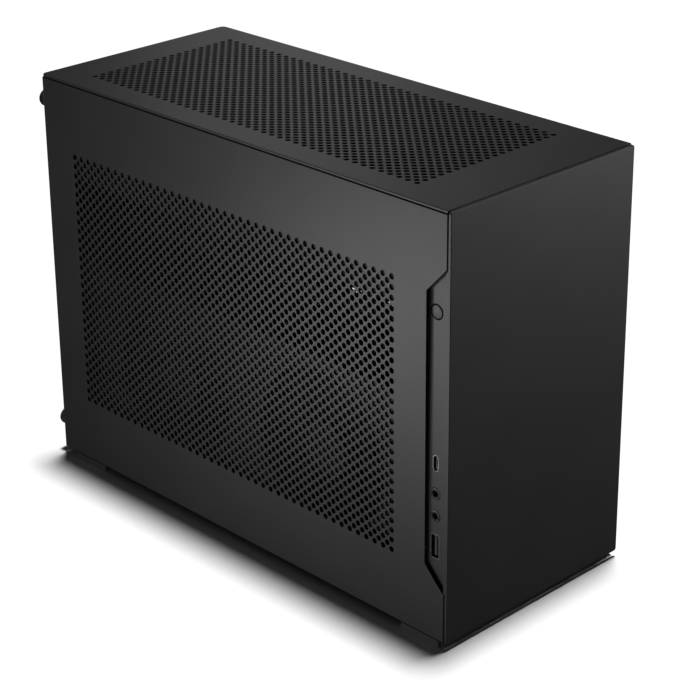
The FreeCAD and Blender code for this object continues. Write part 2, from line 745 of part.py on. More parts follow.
def rear_io_ports():
    """The rear sockets: each a stack of recesses with their tongues, facing backwards."""
    x = X_BOARD_FACE
    tier = 7.0
    ports = [
        (16.0, 34.0, 44.0), (30.0, 48.0, 64.0), (30.0, 68.0, 84.0),
        (27.0, 90.0, 106.0), (16.0, 112.0, 126.0), (34.0, 136.0, 164.0),
    ]
    made = []
    for tall, z0, z1 in ports:
        socket = block(x, x + tall, Y_BOARD_REAR - 22.0, Y_BACK_OUT + 0.4, z0, z1)
        for n in range(int((tall - 1.0) / tier)):
            low = x + 1.2 + n * tier
            recess = block(low, low + 5.2, Y_BACK_OUT - 11.0, Y_BACK_OUT + 1, z0 + 1.2, z1 - 1.2)
            tongue = block(low + 1.7, low + 3.5, Y_BACK_OUT - 11.5, Y_BACK_OUT - 1.5, z0 + 3, z1 - 3)
            socket = socket.cut(recess).fuse(tongue)
        made.append(socket.removeSplitter())
    return group(made)


def io_shield():
    """Thin plate that closes the port window around the sockets."""
    y = Y_BACK_IN - 0.6
    made = plate(rounded(4.8, 51.6, 12.8, 173.2, 1.0, on_back(y)), [], Y_AXIS * 0.6)
    gap = 0.2
    for solid in rear_io_ports().Solids:
        box = solid.BoundBox
        made = made.cut(
            block(box.XMin - 4, box.XMax + gap, y - 1, y + 2, box.ZMin - gap, box.ZMax + gap)
        )
    return made


def pump_block():
    """Round pump head on its cold plate, with two elbow fittings."""
    y, z = 74.0, 108.0
    x = X_BOARD_FACE + 2.0
    plate_block = block(x, x + 4.0, y - 27.0, y + 27.0, z - 27.0, z + 27.0)
    head = rod(29.0, V(x + 4.0, y, z), X_AXIS, 32.0)
    rim = [e for e in head.Edges if e.BoundBox.XMin > x + 35.0]
    head = head.makeFillet(2.0, rim)
    necks = [rod(6.5, V(x + 34.0, py, pz), X_AXIS, px - x - 34.0) for px, py, pz in tube_ends()]
    elbows = [Part.makeSphere(7.2, V(px, py, pz)) for px, py, pz in tube_ends()]
    return fused([plate_block, head] + necks + elbows)


def tube_ends():
    """Centres of the two elbow fittings on the pump head."""
    return [(46.0, 66.0, 118.0), (57.0, 86.0, 112.0)]


# ---- cooling ------------------------------------------------------------------------------
def radiator():
    """Cooling core of flat tubes between two end tanks, with side rails."""
    width, length, height = RADIATOR
    y0 = Y_FIELD_MID - length / 2
    y1 = y0 + length
    z0 = Z_RADIATOR
    tank = 17.0
    made = [
        block(-width / 2, width / 2, y0, y0 + tank, z0, z0 + height),
        block(-width / 2, width / 2, y1 - tank, y1, z0, z0 + height),
        block(-width / 2, -width / 2 + 2.0, y0, y1, z0, z0 + height),
        block(width / 2 - 2.0, width / 2, y0, y1, z0, z0 + height),
        block(-width / 2, width / 2, y0, y1, z0 + 6.0, z0 + height - 6.0),
    ]
    for n in range(13):
        x = -width / 2 + 8.0 + n * 8.6
        made.append(block(x, x + 2.0, y0, y1, z0 + 2.0, z0 + height - 2.0))
    made += [rod(6.0, V(x, y0 + 9.0, z0 - 6.0), Z_AXIS, 7.0) for x in HOSE_XS]
    return fused(made)


def coolant_tubes():
    """Two hoses from the radiator's front tank to the pump head."""
    made = []
    y_tank = Y_FIELD_MID - RADIATOR[1] / 2 + 9.0
    z_tank = Z_RADIATOR - 6.0
    for x_tank, (x, y, z) in zip(HOSE_XS, tube_ends()):
        route = [
            (x_tank, y_tank, z_tank),
            (x_tank, y_tank, 152.0),
            (x, y_tank + 60.0, 150.0),
            (x, y - 40.0, 152.0),
            (x, y - 6.5, z + 2.5),
        ]
        made.append(bent_tube(route, 5.0))
    return group(made)


def fan_frame(y, z):
    """Square fan frame, open in the middle, with the motor seat on four struts."""
    half = FAN_SIZE / 2
    place = on_level(z)
    gap = 0.15
    bore = [circle(0, y, 58.0, place)]
    corners = [
        circle(sx * 52.5, y + sy * 52.5, 2.15, place) for sx in (-1, 1) for sy in (-1, 1)
    ]
    outline = rounded(-half, half, y - half + gap, y + half - gap, 6.0, place)
    frame = plate(outline, bore + corners, Z_AXIS * FAN_DEPTH)
    made = [frame, rod(21.0, V(0, y, z), Z_AXIS, 3.0)]
    for n in range(4):
        strut = block(18.0, 59.0, -2.0, 2.0, 0.0, 3.0)
        strut.rotate(V(0, 0, 0), Z_AXIS, 45 + 90 * n)
        strut.translate(V(0, y, z))
        made.append(strut)
    return fused(made)


def rotor(hub_r, tip_r, depth, blades):
    """A fan rotor about +Z, standing on z = 0: a cupped hub and pitched blades."""
    made = [rod(hub_r, V(0, 0, 0), Z_AXIS, depth)]
    made[0] = made[0].makeFillet(1.5, [e for e in made[0].Edges if e.BoundBox.ZMin > depth - 1e-3])
    chord = 2 * math.pi * (hub_r + tip_r) / 2 / blades * 0.95
    stations = [(hub_r - 1.5, 48.0, -6.0), ((hub_r + tip_r) / 2, 36.0, 4.0), (tip_r, 28.0, 16.0)]
    for n in range(blades):
        sections = []
        for radius, pitch, sweep in stations:
            half = min(chord / 2, (depth - 3.0) / 2 / math.sin(math.radians(pitch)))
            thick = 0.8
            tilt = math.radians(pitch)
            corners = []
            for a, t in ((-half, -thick), (half, -thick), (half, thick), (-half, thick)):
                flat = a * math.cos(tilt) - t * math.sin(tilt)
                corners.append((flat, a * math.sin(tilt) + t * math.cos(tilt)))
            turn = math.radians(sweep + 360.0 * n / blades)
            out = V(math.cos(turn), math.sin(turn), 0)
            along = V(-math.sin(turn), math.cos(turn), 0)
            points = [out * radius + along * a + Z_AXIS * (depth / 2 + b) for a, b in corners]
            sections.append(Part.makePolygon(points + points[:1]))
        made.append(Part.makeLoft(sections, True, False))
    whole = fused(made)
    return whole.common(rod(tip_r, V(0, 0, 0), Z_AXIS, depth))


def upright_rotor(y, z):
    """Rotor of a radiator fan."""
    made = rotor(20.5, 56.5, 20.0, 9)
    made.translate(V(0, y, z + 4.0))
    return made


# ---- power supply -------------------------------------------------------------------------
def psu_middle():
    """Centre (y, z) of the power supply's fan."""
    return (PSU_Y[0] + PSU_Y[1]) / 2, (PSU_Z[0] + PSU_Z[1]) / 2


def psu_case():
    """Sheet-metal box with a round fan opening, the inlet opening and the cable opening."""
    y, z = psu_middle()
    x0, x1 = PSU_X
    outer = block(x0, x1, *PSU_Y, *PSU_Z)
    inner = block(x0 + 1, x1 - 1, PSU_Y[0] + 1, PSU_Y[1] - 1, PSU_Z[0] + 1, PSU_Z[1] - 1)
    made = outer.cut(inner)
    made = made.cut(rod(45.0, V(x1 - 5, y, z), X_AXIS, 10))
    made = made.cut(block(18.0, 45.0, PSU_Y[0] - 1, PSU_Y[0] + 5, 60.0, 80.0))
    made = made.cut(block(25.0, 38.0, PSU_Y[0] - 1, PSU_Y[0] + 5, 92.0, 112.0))
    return made.cut(rod(9.0, V(POWER_LEAD_X, PSU_Y[1] - 5, 56.0), Y_AXIS, 10))


def psu_grille():
    """Wire guard over the power supply's fan."""
    y, z = psu_middle()
    wire = 1.4
    centre = V(PSU_X[1], y, z)
    made = [ring(r + wire / 2, r - wire / 2, centre, X_AXIS, wire) for r in (12.0, 22.0, 32.0, 42.0)]
    for n in range(2):
        bar = block(0, wire, -48.0, 48.0, -wire / 2, wire / 2)
        bar.rotate(V(0, 0, 0), X_AXIS, 45 + 90 * n)
        bar.translate(centre)
        made.append(bar)
    return fused(made)


def facing_rotor(x, y, z, hub_r, tip_r, depth, blades, side):
    """A rotor whose axis lies along X; side is the way its cupped face looks."""
    made = rotor(hub_r, tip_r, depth, blades)
    made.rotate(V(0, 0, 0), Y_AXIS, 90 * side)
    made.translate(V(x, y, z))
    return made


# ---- graphics card ------------------------------------------------------------------------
def gpu_board():
    """Card's circuit board with its edge connector downwards, and the stiffening plate behind."""
    y0, y1 = CARD_Y
    z0, z1 = CARD_Z
    card = plate(rounded(y0, y1, z0 + 3.0, z1 - 2.0, 2.0, on_side(X_CARD)), [], X_AXIS * BOARD_T)
    fingers = block(X_CARD, X_CARD + BOARD_T, 62.0, 147.0, z0, z0 + 4.0)
    backplate = block(X_CARD + BOARD_T, X_CARD + BOARD_T + 1.6, y0 + 2, y1 - 2, z0 + 6, z1 - 4)
    return fused([card, fingers, backplate])


def gpu_heatsink():
    """Comb of cooling fins on a base plate."""
    x_base = X_CARD - 1.0
    x_root = x_base - 5.0
    x_tip = SHROUD_X[1] + 0.3
    pitch = 4.4
    count = 57
    y = CARD_Y[0] + 4.0
    comb = [(x_base, y), (x_base, y + pitch * count)]
    for n in range(count, 0, -1):
        fin = y + pitch * n
        comb += [(x_root, fin), (x_tip, fin), (x_tip, fin - 1.2), (x_root, fin - 1.2)]
    comb.append((x_root, y))
    return plate(polygon(comb, on_level(CARD_Z[0] + 8.0)), [], Z_AXIS * (CARD_Z[1] - CARD_Z[0] - 14.0))


def gpu_shroud():
    """Moulded cover over the fins, with two round fan wells and struts across them."""
    x0, x1 = SHROUD_X
    y0, y1 = CARD_Y
    z = sum(CARD_Z) / 2
    place = on_side(x0)
    wells = [circle(y, z, CARD_FAN_R + 1.5, place) for y in CARD_FAN_YS]
    cover = plate(rounded(y0, y1, *CARD_Z, 8.0, place), wells, X_AXIS * (x1 - x0))
    made = [cover]
    for y in CARD_FAN_YS:
        made.append(rod(17.0, V(x1 - 2.5, y, z), X_AXIS, 2.5))
        for n in range(3):
            strut = block(x1 - 2.5, x1, 15.0, CARD_FAN_R + 3.0, -2.0, 2.0)
            strut.rotate(V(0, 0, 0), X_AXIS, 30 + 120 * n)
            strut.translate(V(0, y, z))
            made.append(strut)
    return fused(made)


def gpu_bracket():
    """Two-slot end plate with the display sockets."""
    y = Y_BACK_IN - 1.2
    x0 = SLOT_XS[1] - 9.6
    x1 = SLOT_XS[0] + 9.0
    end = block(x0, x1, y, y + 1.0, 18.5, 131.0)
    sockets = []
    for n in range(4):
        z = 34.0 + n * 22.0
        body = block(SLOT_XS[0] - 3.0, SLOT_XS[0] + 3.4, y - 2.0, Y_BACK_OUT, z, z + 16.0)
        recess = block(
            SLOT_XS[0] - 2.2, SLOT_XS[0] + 2.6, y - 1, Y_BACK_OUT + 1, z + 0.8, z + 15.2
        )
        sockets.append((body, recess))
    for n in range(6):
        z = 32.0 + n * 15.0
        end = end.cut(block(SLOT_XS[1] - 5.0, SLOT_XS[1] + 5.0, y - 1, y + 2, z, z + 10.0))
    for body, recess in sockets:
        end = end.fuse(body).cut(recess)
    return end.removeSplitter()


def slot_cover():
    """Blank plate over the unused card slot."""
    y = Y_BACK_IN - 1.2
    x = SLOT_XS[2]
    return block(x - 8.6, x + 9.4, y, y + 1.0, 18.5, 131.0)


def riser_cable():
    """Card socket, flat ribbon under the board, and the plug in the board's slot."""
    width = (60.0, 149.0)
    z_low = Z_FLOOR + 0.6
    thick = 1.0
    bend = 5.8
    x_end = X_BOARD_FACE + 20.0
    socket = block(X_CARD - 3.6, X_CARD + 5.2, *width, z_low + thick, CARD_Z[0])
    strip = block(X_CARD - 2.0, x_end, *width, z_low, z_low + thick)
    centre = V(x_end, width[0], z_low + bend)
    curl = ring(bend, bend - thick, centre, Y_AXIS, width[1] - width[0])
    curl = curl.common(block(x_end, x_end + 20, *width, 0, 40))
    z_plug = z_low + 2 * bend
    plug = block(X_BOARD_FACE + 11.0, x_end, *width, 14.0, z_plug + 3.0)
    return fused([socket, strip, curl, plug])


# ---- power wiring -------------------------------------------------------------------------
def power_inlet():
    """Mains socket: a flanged body through the back plate, with three flat pins."""
    place = on_back(Y_BACK_OUT + 1.6)
    flange = plate(
        rounded(INLET_X - 15.5, INLET_X + 15.5, INLET_Z - 12.0, INLET_Z + 12.0, 2.0, place), [], Y_AXIS * -1.6
    )
    body = block(INLET_X - 13.4, INLET_X + 13.4, 134.0, Y_BACK_OUT, INLET_Z - 9.8, INLET_Z + 9.8)
    well_outline = polygon(
        [
            (INLET_X - 12.0, INLET_Z - 8.0), (INLET_X + 12.0, INLET_Z - 8.0), (INLET_X + 12.0, INLET_Z + 3.5),
            (INLET_X + 8.0, INLET_Z + 8.0), (INLET_X - 8.0, INLET_Z + 8.0), (INLET_X - 12.0, INLET_Z + 3.5),
        ],
        on_back(Y_BACK_OUT + 2.0),
    )
    well = plate(well_outline, [], Y_AXIS * -18.0)
    pins = []
    for dx, dz in ((-7.0, -2.0), (7.0, -2.0), (0.0, 2.0)):
        x = INLET_X + dx
        z = INLET_Z + dz
        pins.append(block(x - 1.0, x + 1.0, Y_BACK_OUT - 17.0, Y_BACK_OUT - 2.0, z - 2.0, z + 2.0))
    return fused([fused([flange, body]).cut(well)] + pins)


def ac_lead():
    """Internal mains lead from the inlet to the angled plug on the power supply."""
    y = Y_INSIDE + 9.5
    plug = block(17.0, 46.0, PSU_Y[0] - 16.0, PSU_Y[0] - 0.2, 58.0, 82.0)
    pins_cover = block(19.0, 44.0, PSU_Y[0] - 0.2, PSU_Y[0] + 4.0, 61.0, 79.0)
    route = [
        (INLET_X, 134.0, INLET_Z), (INLET_X, 60.0, INLET_Z), (INLET_X + 2, -20.0, INLET_Z + 1),
        (INLET_X, -100.0, INLET_Z), (INLET_X + 14, y, INLET_Z), (16.0, y, INLET_Z - 2), (32.0, y, 124.0),
        (32.0, y, 82.0),
    ]
    return fused([bent_tube(route, 3.6), plug, pins_cover])


def power_cables():
    """Board power lead and card power lead, each with its plug."""
    board_z = 56.0
    board_y = Y_BOARD_FRONT + 6.0
    x_plug = X_BOARD_FACE + 13.0
    board_plug = block(x_plug, x_plug + 12.0, board_y - 4.5, board_y + 4.5, 31.0, 81.0)
    board_lead = bent_tube(
        [
            (x_plug + 12.0, board_y, board_z),
            (POWER_LEAD_X, board_y, board_z),
            (POWER_LEAD_X, PSU_Y[1] - 2.0, board_z),
        ],
        3.5,
    )
    card_y = PSU_Y[1] + 14.0
    card_x = X_CARD - 12.0
    card_plug = block(
        card_x - 9.0, card_x + 9.0, card_y - 4.5, card_y + 4.5, CARD_Z[1] - 6.0, CARD_Z[1] + 8.0
    )
    card_lead = bent_tube(
        [
            (24.0, PSU_Y[1], 112.0),
            (24.0, card_y + 2.0, 112.0),
            (22.0, card_y, 160.0),
            (card_x, card_y, 160.0),
            (card_x, card_y, CARD_Z[1] + 8.0),
        ],
        3.0,
    )
    return group([fused([board_plug, board_lead]), fused([card_plug, card_lead])])


# ---- assembly -----------------------------------------------------------------------------
def build():
    """Fills parts with every node."""
    parts["front_panel"] = front_panel()
    parts["left_side_panel"] = perforated_side(-1, side_outline(True))
    parts["right_side_panel"] = perforated_side(1, side_outline(False))
    parts["top_panel"] = top_panel()
    parts["left_panel_fixings"] = side_fixings(-1)
    parts["right_panel_fixings"] = side_fixings(1)
    parts["top_panel_studs"] = top_panel_studs()
    for side, side_name in ((-1, "left"), (1, "right")):
        for z, level in zip(SCREW_ZS, ("lower", "upper")):
            parts[f"thumbscrew_{side_name}_{level}"] = thumbscrew(side, z)
    parts["front_bulkhead"] = front_bulkhead()
    parts["bottom_tray"] = bottom_tray()
    parts["rear_panel"] = rear_panel()
    parts["center_wall"] = center_wall()
    parts["board_tray"] = board_tray()
    parts["top_rail_left"] = top_rail(-1)
    parts["top_rail_right"] = top_rail(1)
    parts["top_bars"] = top_bars()
    parts["stud_clips"] = stud_clips()
    parts["feet"] = feet()
    parts["chassis_screws"] = chassis_screws()
    parts["io_bezel"] = io_bezel()
    parts["power_button"] = power_button()
    parts["button_spring"] = button_spring()
    parts["power_switch"] = power_switch()
    parts["usb_c_port"] = port_shell(USB_C_LEVEL, 4.0, 9.4, 1.9, 0.45, 7.0, 0.8, 6.6)
    parts["usb_a_port"] = port_shell(USB_A_LEVEL, 6.2, 14.1, 0.7, 0.5, 12.0, 1.8, 11.0)
    parts["audio_jacks"] = audio_jacks()
    parts["front_io_board"] = front_io_board()
    parts["front_io_cable"] = front_io_cable()
    parts["motherboard"] = motherboard()
    parts["board_standoffs"] = board_standoffs()
    parts["board_sockets"] = board_sockets()
    parts["rear_io_ports"] = rear_io_ports()
    parts["io_shield"] = io_shield()
    parts["pump_block"] = pump_block()
    parts["memory_sticks"] = memory_sticks()
    parts["m2_ssd"] = m2_ssd()
    parts["vrm_heatsink"] = vrm_heatsink()
    parts["radiator"] = radiator()
    parts["coolant_tubes"] = coolant_tubes()
    z_fan = Z_RADIATOR + RADIATOR[2] + 0.1
    for y, where in zip(FAN_YS, ("front", "rear")):
        parts[f"fan_frame_{where}"] = fan_frame(y, z_fan)
        parts[f"fan_rotor_{where}"] = upright_rotor(y, z_fan)
    parts["psu_case"] = psu_case()
    parts["psu_grille"] = psu_grille()
    psu_y, psu_z = psu_middle()
    parts["psu_fan_rotor"] = facing_rotor(PSU_X[1] - 15.0, psu_y, psu_z, 16.0, 43.0, 12.0, 9, 1)
    parts["gpu_board"] = gpu_board()
    parts["gpu_heatsink"] = gpu_heatsink()
    parts["gpu_shroud"] = gpu_shroud()
    card_z = sum(CARD_Z) / 2
    for y, where in zip(CARD_FAN_YS, ("front", "rear")):
        parts[f"gpu_rotor_{where}"] = facing_rotor(
            SHROUD_X[1] - 4.5, y, card_z, 16.0, CARD_FAN_R, 14.0, 11, -1
        )
    parts["gpu_bracket"] = gpu_bracket()
    parts["slot_cover"] = slot_cover()
    parts["riser_cable"] = riser_cable()
    parts["power_inlet"] = power_inlet()
    parts["ac_lead"] = ac_lead()
    parts["power_cables"] = power_cables()


def export():
    """Writes one STEP file per node and prints what each one holds."""
    os.makedirs("parts", exist_ok=True)
    for name, shape in parts.items():
        shape.exportStep(f"parts/{name}.step")
        box = shape.BoundBox
        print(
            f"{name:22s} solids {len(shape.Solids):2d} volume {shape.Volume:10.1f}",
            f"x {box.XMin:7.1f} {box.XMax:7.1f} y {box.YMin:7.1f} {box.YMax:7.1f}",
            f"z {box.ZMin:6.1f} {box.ZMax:6.1f}",
        )


build()
export()
print("nodes", len(parts))
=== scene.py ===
import json
import math
from functools import partial

import bmesh
import bpy
from mathutils import Matrix, Vector

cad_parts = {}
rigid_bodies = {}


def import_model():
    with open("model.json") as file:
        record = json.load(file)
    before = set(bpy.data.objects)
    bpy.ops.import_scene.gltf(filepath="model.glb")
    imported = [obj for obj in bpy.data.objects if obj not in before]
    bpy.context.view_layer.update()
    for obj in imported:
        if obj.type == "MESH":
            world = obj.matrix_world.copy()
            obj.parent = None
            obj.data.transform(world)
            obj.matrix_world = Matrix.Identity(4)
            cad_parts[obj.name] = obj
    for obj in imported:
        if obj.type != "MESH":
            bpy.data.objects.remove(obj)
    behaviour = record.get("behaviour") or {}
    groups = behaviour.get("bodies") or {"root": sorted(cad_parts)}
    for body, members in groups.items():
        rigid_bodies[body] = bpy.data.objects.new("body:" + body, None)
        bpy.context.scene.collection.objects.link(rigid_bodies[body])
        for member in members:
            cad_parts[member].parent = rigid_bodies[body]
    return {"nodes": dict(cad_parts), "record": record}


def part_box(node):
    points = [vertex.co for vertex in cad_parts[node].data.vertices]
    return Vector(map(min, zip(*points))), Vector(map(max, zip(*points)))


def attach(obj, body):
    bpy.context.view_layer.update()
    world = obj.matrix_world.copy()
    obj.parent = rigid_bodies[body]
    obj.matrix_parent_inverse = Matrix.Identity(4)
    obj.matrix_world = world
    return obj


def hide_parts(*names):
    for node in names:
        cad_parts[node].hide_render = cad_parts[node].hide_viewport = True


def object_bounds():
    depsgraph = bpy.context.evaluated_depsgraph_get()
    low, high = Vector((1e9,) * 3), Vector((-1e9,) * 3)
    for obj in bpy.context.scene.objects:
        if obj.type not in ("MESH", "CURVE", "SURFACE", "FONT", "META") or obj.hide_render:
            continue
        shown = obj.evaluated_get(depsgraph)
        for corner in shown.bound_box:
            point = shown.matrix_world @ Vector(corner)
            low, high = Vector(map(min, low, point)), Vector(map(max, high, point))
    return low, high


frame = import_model()
cad_low, cad_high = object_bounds()
nodes = frame["nodes"]
MM = 0.001

# Perforation of the three outer sheets, as the design has it.
HOLE_R = 1.6 * MM
PITCH_ALONG = 6.23 * MM
PITCH_ACROSS = 5.72 * MM
FIELD_COLUMNS = 83
SIDE_ROWS = 55
TOP_ROWS = 37
FIELD_START = 39.8 * MM
SIDE_FIELD_BASE = 45.0 * MM
EDGE_ROUND = 0.4 * MM
HOLE_SIDES = 16
RIM = 0.12 * MM
NOTCH_DEPTH = 14.0 * MM
NOTCH = (32.3 * MM, 213.2 * MM)


# ---- materials -----------------------------------------------------------------------------
def new_material(name, color, roughness, metallic=0.0):
    """A node material and its Principled shader."""
    material = bpy.data.materials.new(name)
    material.use_nodes = True
    shader = material.node_tree.nodes["Principled BSDF"]
    shader.inputs["Base Color"].default_value = (*color, 1.0)
    shader.inputs["Roughness"].default_value = roughness
    shader.inputs["Metallic"].default_value = metallic
    return material, shader


def object_noise(material, scale, detail=2.0, stretch=(1, 1, 1)):
    """Noise in object space, scale in features per metre, stretched along the axes."""
    tree = material.node_tree
    place = tree.nodes.new("ShaderNodeTexCoord")
    mapping = tree.nodes.new("ShaderNodeMapping")
    mapping.inputs["Scale"].default_value = stretch
    tree.links.new(place.outputs["Object"], mapping.inputs["Vector"])
    noise = tree.nodes.new("ShaderNodeTexNoise")
    noise.inputs["Scale"].default_value = scale
    noise.inputs["Detail"].default_value = detail
    tree.links.new(mapping.outputs["Vector"], noise.inputs["Vector"])
    return noise


def spread(material, source, low, high, target):
    """Maps a noise's middle range to low..high and feeds it to target."""
    tree = material.node_tree
    ramp = tree.nodes.new("ShaderNodeMapRange")
    ramp.inputs["From Min"].default_value = 0.3
    ramp.inputs["From Max"].default_value = 0.7
    ramp.inputs["To Min"].default_value = low
    ramp.inputs["To Max"].default_value = high
    tree.links.new(source, ramp.inputs["Value"])
    tree.links.new(ramp.outputs["Result"], target)


def vary_color(material, shader, noise, dark, light):
    """Drifts the base colour between two close tones."""
    tree = material.node_tree
    ramp = tree.nodes.new("ShaderNodeValToRGB")
    ramp.color_ramp.elements[0].position = 0.3
    ramp.color_ramp.elements[1].position = 0.7
    ramp.color_ramp.elements[0].color = (*dark, 1)
    ramp.color_ramp.elements[1].color = (*light, 1)
    tree.links.new(noise.outputs["Fac"], ramp.inputs["Fac"])
    tree.links.new(ramp.outputs["Color"], shader.inputs["Base Color"])


def bump(material, shader, noise, strength, distance):
    """Raises fine grain on the surface."""
    tree = material.node_tree
    node = tree.nodes.new("ShaderNodeBump")
    node.inputs["Strength"].default_value = strength
    node.inputs["Distance"].default_value = distance
    tree.links.new(noise.outputs["Fac"], node.inputs["Height"])
    tree.links.new(node.outputs["Normal"], shader.inputs["Normal"])


def finish(name, dark, light, rough, grain, strength, metallic=0.0, stretch=(1, 1, 1)):
    """A surface with fine grain: colour, roughness and height all vary a little."""
    material, shader = new_material(name, light, sum(rough) / 2, metallic)
    fine = object_noise(material, grain, 3.0, stretch)
    broad = object_noise(material, 25.0)
    vary_color(material, shader, broad, dark, light)
    if metallic == 0.0:
        shader.inputs["Specular IOR Level"].default_value = 0.3
    spread(material, fine.outputs["Fac"], *rough, shader.inputs["Roughness"])
    bump(material, shader, fine, strength, 0.00004)
    return material


def grey(level):
    """A neutral tone with the faint blue cast of black paint."""
    return (level, level, level * 1.02)


def make_finishes():
    """Every finish of the object, keyed by the record's material slot."""
    return {
        "panel_aluminium": finish("powder_coat", grey(0.008), grey(0.010), (0.42, 0.52), 2600.0, 0.25),
        "chassis_steel": finish("chassis_coat", grey(0.018), grey(0.022), (0.5, 0.62), 1800.0, 0.3),
        "screw_black": finish("black_anodised", grey(0.02), grey(0.03), (0.28, 0.4), 900.0, 0.1, 0.6),
        "screw_steel": finish("black_zinc", grey(0.05), grey(0.08), (0.3, 0.42), 800.0, 0.1, 1.0),
        "foot_rubber": finish("rubber", grey(0.003), grey(0.005), (0.7, 0.85), 1500.0, 0.35),
        "port_metal": finish("plated_shell", grey(0.42), grey(0.52), (0.26, 0.38), 1200.0, 0.08, 1.0),
        "black_plastic": finish("moulded_black", grey(0.012), grey(0.018), (0.4, 0.55), 1400.0, 0.2),
        "circuit_board": finish(
            "solder_mask", grey(0.008), (0.012, 0.017, 0.016), (0.3, 0.42), 500.0, 0.1
        ),
        "cable_jacket": finish("cable_jacket", grey(0.010), grey(0.016), (0.5, 0.62), 900.0, 0.15),
        "hose_rubber": finish("hose_sleeve", grey(0.012), grey(0.02), (0.55, 0.7), 1600.0, 0.5),
        "heatsink_aluminium": finish(
            "heatsink_alloy", grey(0.35), grey(0.45), (0.3, 0.42), 700.0, 0.15, 1.0, (1, 1, 12)
        ),
        "radiator_black": finish("radiator_paint", grey(0.014), grey(0.02), (0.4, 0.55), 1200.0, 0.25),
        "pump_plastic": finish("pump_cover", grey(0.010), grey(0.014), (0.12, 0.2), 300.0, 0.03),
        "fan_plastic": finish("fan_plastic", grey(0.018), grey(0.026), (0.38, 0.5), 1500.0, 0.2),
        "psu_steel": finish("psu_paint", grey(0.018), grey(0.024), (0.5, 0.62), 1700.0, 0.3),
        "shroud_plastic": finish("shroud_plastic", grey(0.02), grey(0.03), (0.35, 0.48), 1500.0, 0.2),
    }


def dress_nodes(finishes):
    """Gives every CAD node the finish of its slot."""
    for row in frame["record"]["subparts"]:
        slots = nodes[row["node"]].data.materials
        slots.clear()
        slots.append(finishes[row["material_slot"]])


# ---- camera, floor and light ---------------------------------------------------------------
def aim(location, target, roll=0.0):
    """World matrix of something at location that looks at target, rolled about its line of sight."""
    back = (location - target).normalized()
    right = Vector((0, 0, 1)).cross(back).normalized()
    up = back.cross(right)
    turn = Matrix.Rotation(roll, 3, back)
    matrix = Matrix((turn @ right, turn @ up, back)).transposed().to_4x4()
    matrix.translation = location
    return matrix


def orbit(azimuth, elevation, distance, target):
    """A point seen from target at an azimuth (0 looks along +Y) and elevation, in degrees."""
    a, e = math.radians(azimuth), math.radians(elevation)
    back = Vector((math.sin(a) * math.cos(e), -math.cos(a) * math.cos(e), math.sin(e)))
    return target + back * distance


def make_camera():
    """Long-lens three-quarter view from the front left, above the lid.

    A larger shift would straighten the upright edges further, but it would cut the case off in other views.
    """
    target = Vector((50.6, 36.1, 120.0)) * MM
    camera = bpy.data.objects.new("camera", bpy.data.cameras.new("camera"))
    camera.data.sensor_width = 36.0
    camera.data.lens = 111.53
    camera.data.shift_y = -0.10
    camera.data.clip_end = 30.0
    camera.matrix_world = aim(orbit(-44.06, 22.39, 1.2572, target), target, math.radians(-0.552))
    bpy.context.scene.collection.objects.link(camera)
    bpy.context.scene.camera = camera


def softbox(name, location, target, size, power, receivers):
    """A square area light that looks at target, lights only the receivers and isn't seen itself."""
    light = bpy.data.lights.new(name, "AREA")
    light.shape = "SQUARE"
    light.size = size
    light.energy = power
    lamp = bpy.data.objects.new(name, light)
    lamp.matrix_world = aim(Vector(location), Vector(target))
    lamp.visible_camera = False
    lamp.light_linking.receiver_collection = receivers
    bpy.context.scene.collection.objects.link(lamp)


def make_floor():
    """Pale matt floor that the dark panels don't mirror."""
    half = 8.0
    corners = [(-half, -half, 0), (half, -half, 0), (half, half, 0), (-half, half, 0)]
    mesh = bpy.data.meshes.new("floor")
    mesh.from_pydata(corners, [], [(0, 1, 2, 3)])
    floor = bpy.data.objects.new("floor", mesh)
    bpy.context.scene.collection.objects.link(floor)
    floor.visible_glossy = False
    material, shader = new_material("studio_floor", (0.9, 0.9, 0.9), 0.9)
    shader.inputs["Specular IOR Level"].default_value = 0.1
    mesh.materials.append(material)


def make_overhead_light():
    """Soft light from straight above, which leaves a close shadow beside the case."""
    light = bpy.data.lights.new("overhead", "SUN")
    light.energy = 3.7
    light.angle = math.radians(7.0)
    lamp = bpy.data.objects.new("overhead", light)
    lamp.matrix_world = aim(Vector((0.085, 0.022, 1.0)), Vector((0, 0, 0)))
    bpy.context.scene.collection.objects.link(lamp)


